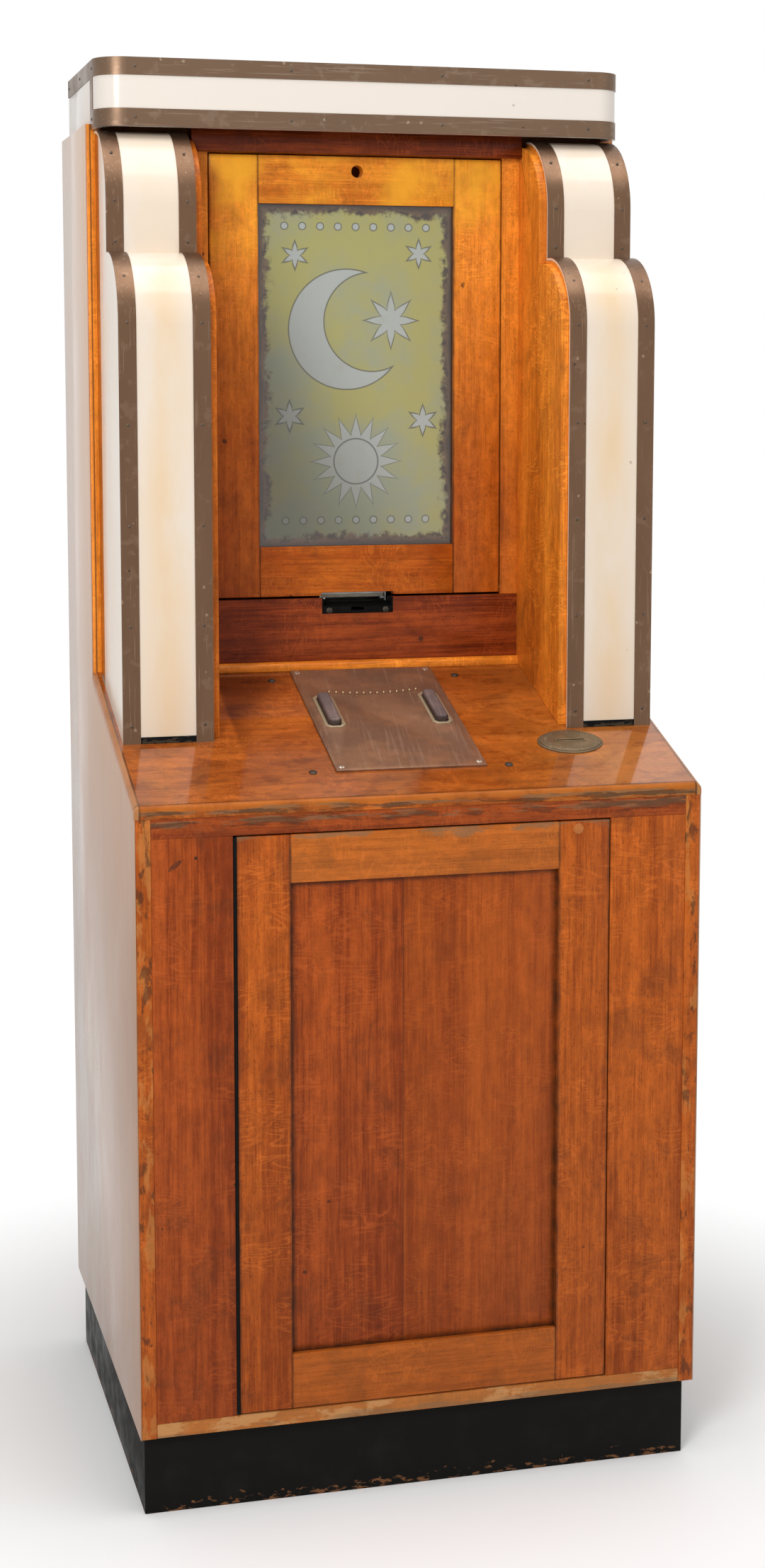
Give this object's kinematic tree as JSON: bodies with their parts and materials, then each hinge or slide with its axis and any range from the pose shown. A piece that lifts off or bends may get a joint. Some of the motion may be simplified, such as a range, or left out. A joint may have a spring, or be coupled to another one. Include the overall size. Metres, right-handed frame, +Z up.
{
  "type": "fortune teller machine",
  "caption": "Floor-standing palm-reading coin machine: oak cabinet with sloped hand desk, stepped white pilasters, banded header, glass door, lower door and card works.",
  "frame": {"origin": "on the floor under the middle of the cabinet", "axes": "+Z up, front towards -Y, +X to the viewer's right"},
  "size_m": [0.711, 0.59, 1.778],
  "materials": {
    "oak": "varnished quarter-sawn oak",
    "oak_red": "varnished red-brown oak",
    "laminate": "cream laminate, satin",
    "bronze_trim": "dull brown bronze strip",
    "copper_plate": "worn copper-brown plate",
    "coin_bronze": "cast bronze, worn",
    "black_paint": "black paint on wood, chipped",
    "black_metal": "black enamel",
    "steel": "dull steel",
    "brass": "machined brass",
    "painted_glass": "reverse-painted glass",
    "plywood": "plain plywood",
    "card": "pasteboard",
    "cast_grey": "grey enamel",
    "bulb": "opal glass"
  },
  "bodies": {
    "cabinet": {"base_board": "oak", "left_side_panel": "oak", "right_side_panel": "oak", "desk_board": "oak", "desk_moulding": "oak", "upper_frame": "oak", "left_pilaster_cheeks": "oak", "right_pilaster_cheeks": "oak", "left_front_panel": "oak_red", "right_front_panel": "oak_red", "front_top_rail": "oak_red", "card_panel": "oak_red", "soffit_rail": "oak_red", "left_side_skin": "laminate", "right_side_skin": "laminate", "left_pilaster_front": "laminate", "right_pilaster_front": "laminate", "header_carcass": "laminate", "header_fascia": "laminate", "left_pilaster_trims": "bronze_trim", "right_pilaster_trims": "bronze_trim", "pilaster_foot_strips": "bronze_trim", "header_top_band": "bronze_trim", "header_front_trim": "bronze_trim", "desk_bolts": "bronze_trim", "hand_plate": "copper_plate", "plate_screws": "copper_plate", "coin_plate": "coin_bronze", "plinth": "black_paint", "card_tray": "black_metal", "cable_gland": "black_metal", "hinge_fixed_leaf": "steel", "hinge_pin": "steel", "reader_frame": "steel", "coin_chute": "steel", "chute_spacers": "steel", "card_magazine": "steel", "door_pivot_pins": "brass", "back_panel": "plywood", "mechanism_shelf": "plywood", "card_stack": "card", "gear_bracket": "cast_grey", "motor": "cast_grey", "lamp": "bulb"},
    "lower_door": {"lower_door_stiles": "oak", "lower_door_rails": "oak", "lower_door_panel": "oak_red", "hinge_door_leaf": "steel"},
    "glass_door": {"glass_door_stiles": "oak", "glass_door_rails": "oak", "glass_pane": "painted_glass", "glass_beads": "oak"},
    "left_bar": {"left_guide_bar": "copper_plate"},
    "right_bar": {"right_guide_bar": "copper_plate"},
    "pin_carrier": {"reader_pins": "steel"},
    "coin_trip": {"coin_lever": "brass"},
    "cash_drawer": {"cash_box": "steel"},
    "feed_train": {"feed_gear": "brass"},
    "drive_shaft": {"drive_pinion": "brass"},
    "card_feeder": {"card_slide": "steel"}
  },
  "joints": [
    {"name": "lower_door_hinge", "type": "hinge", "parent": "cabinet", "child": "lower_door", "pos_m": [-0.235, -0.293, 0.48], "axis": [0, 0, -1], "range_deg": [0, 105]},
    {"name": "glass_door_tilt", "type": "hinge", "parent": "cabinet", "child": "glass_door", "pos_m": [0, 0.055, 1.096], "axis": [1, 0, 0], "range_deg": [0, 70]},
    {"name": "left_bar_press", "type": "slide", "parent": "cabinet", "child": "left_bar", "axis": [0, 0.3223, -0.9466], "range_m": [0, 0.006], "stiffness_N_per_m": 600, "springref_m": -0.01},
    {"name": "right_bar_press", "type": "slide", "parent": "cabinet", "child": "right_bar", "axis": [0, 0.3223, -0.9466], "range_m": [0, 0.006], "stiffness_N_per_m": 600, "springref_m": -0.01},
    {"name": "pin_carrier_press", "type": "slide", "parent": "cabinet", "child": "pin_carrier", "axis": [0, 0.3223, -0.9466], "range_m": [0, 0.003], "stiffness_N_per_m": 500, "springref_m": -0.01},
    {"name": "coin_lever_trip", "type": "hinge", "parent": "cabinet", "child": "coin_trip", "pos_m": [0.222, -0.16151, 0.605], "axis": [1, 0, 0], "range_deg": [0, 30]},
    {"name": "cash_box_slide", "type": "slide", "parent": "cabinet", "child": "cash_drawer", "axis": [0, -1, 0], "range_m": [0, 0.06]},
    {"name": "feed_gear_turn", "type": "hinge", "parent": "cabinet", "child": "feed_train", "pos_m": [0, 0.209, 1.10718], "axis": [-1, 0, 0], "range_deg": [0, 178]},
    {"name": "drive_pinion_turn", "type": "hinge", "parent": "cabinet", "child": "drive_shaft", "pos_m": [0, 0.25425, 1.10718], "axis": [-1, 0, 0], "range_deg": [-720, 0]},
    {"name": "card_slide_feed", "type": "slide", "parent": "cabinet", "child": "card_feeder", "axis": [0, -1, 0], "range_m": [0, 0.056]}
  ],
  "couplings": [
    {"joint": "drive_pinion_turn", "follows": "feed_gear_turn", "ratio": -4},
    {"joint": "card_slide_feed", "follows": "feed_gear_turn", "m_per_rad": 0.018}
  ]
}
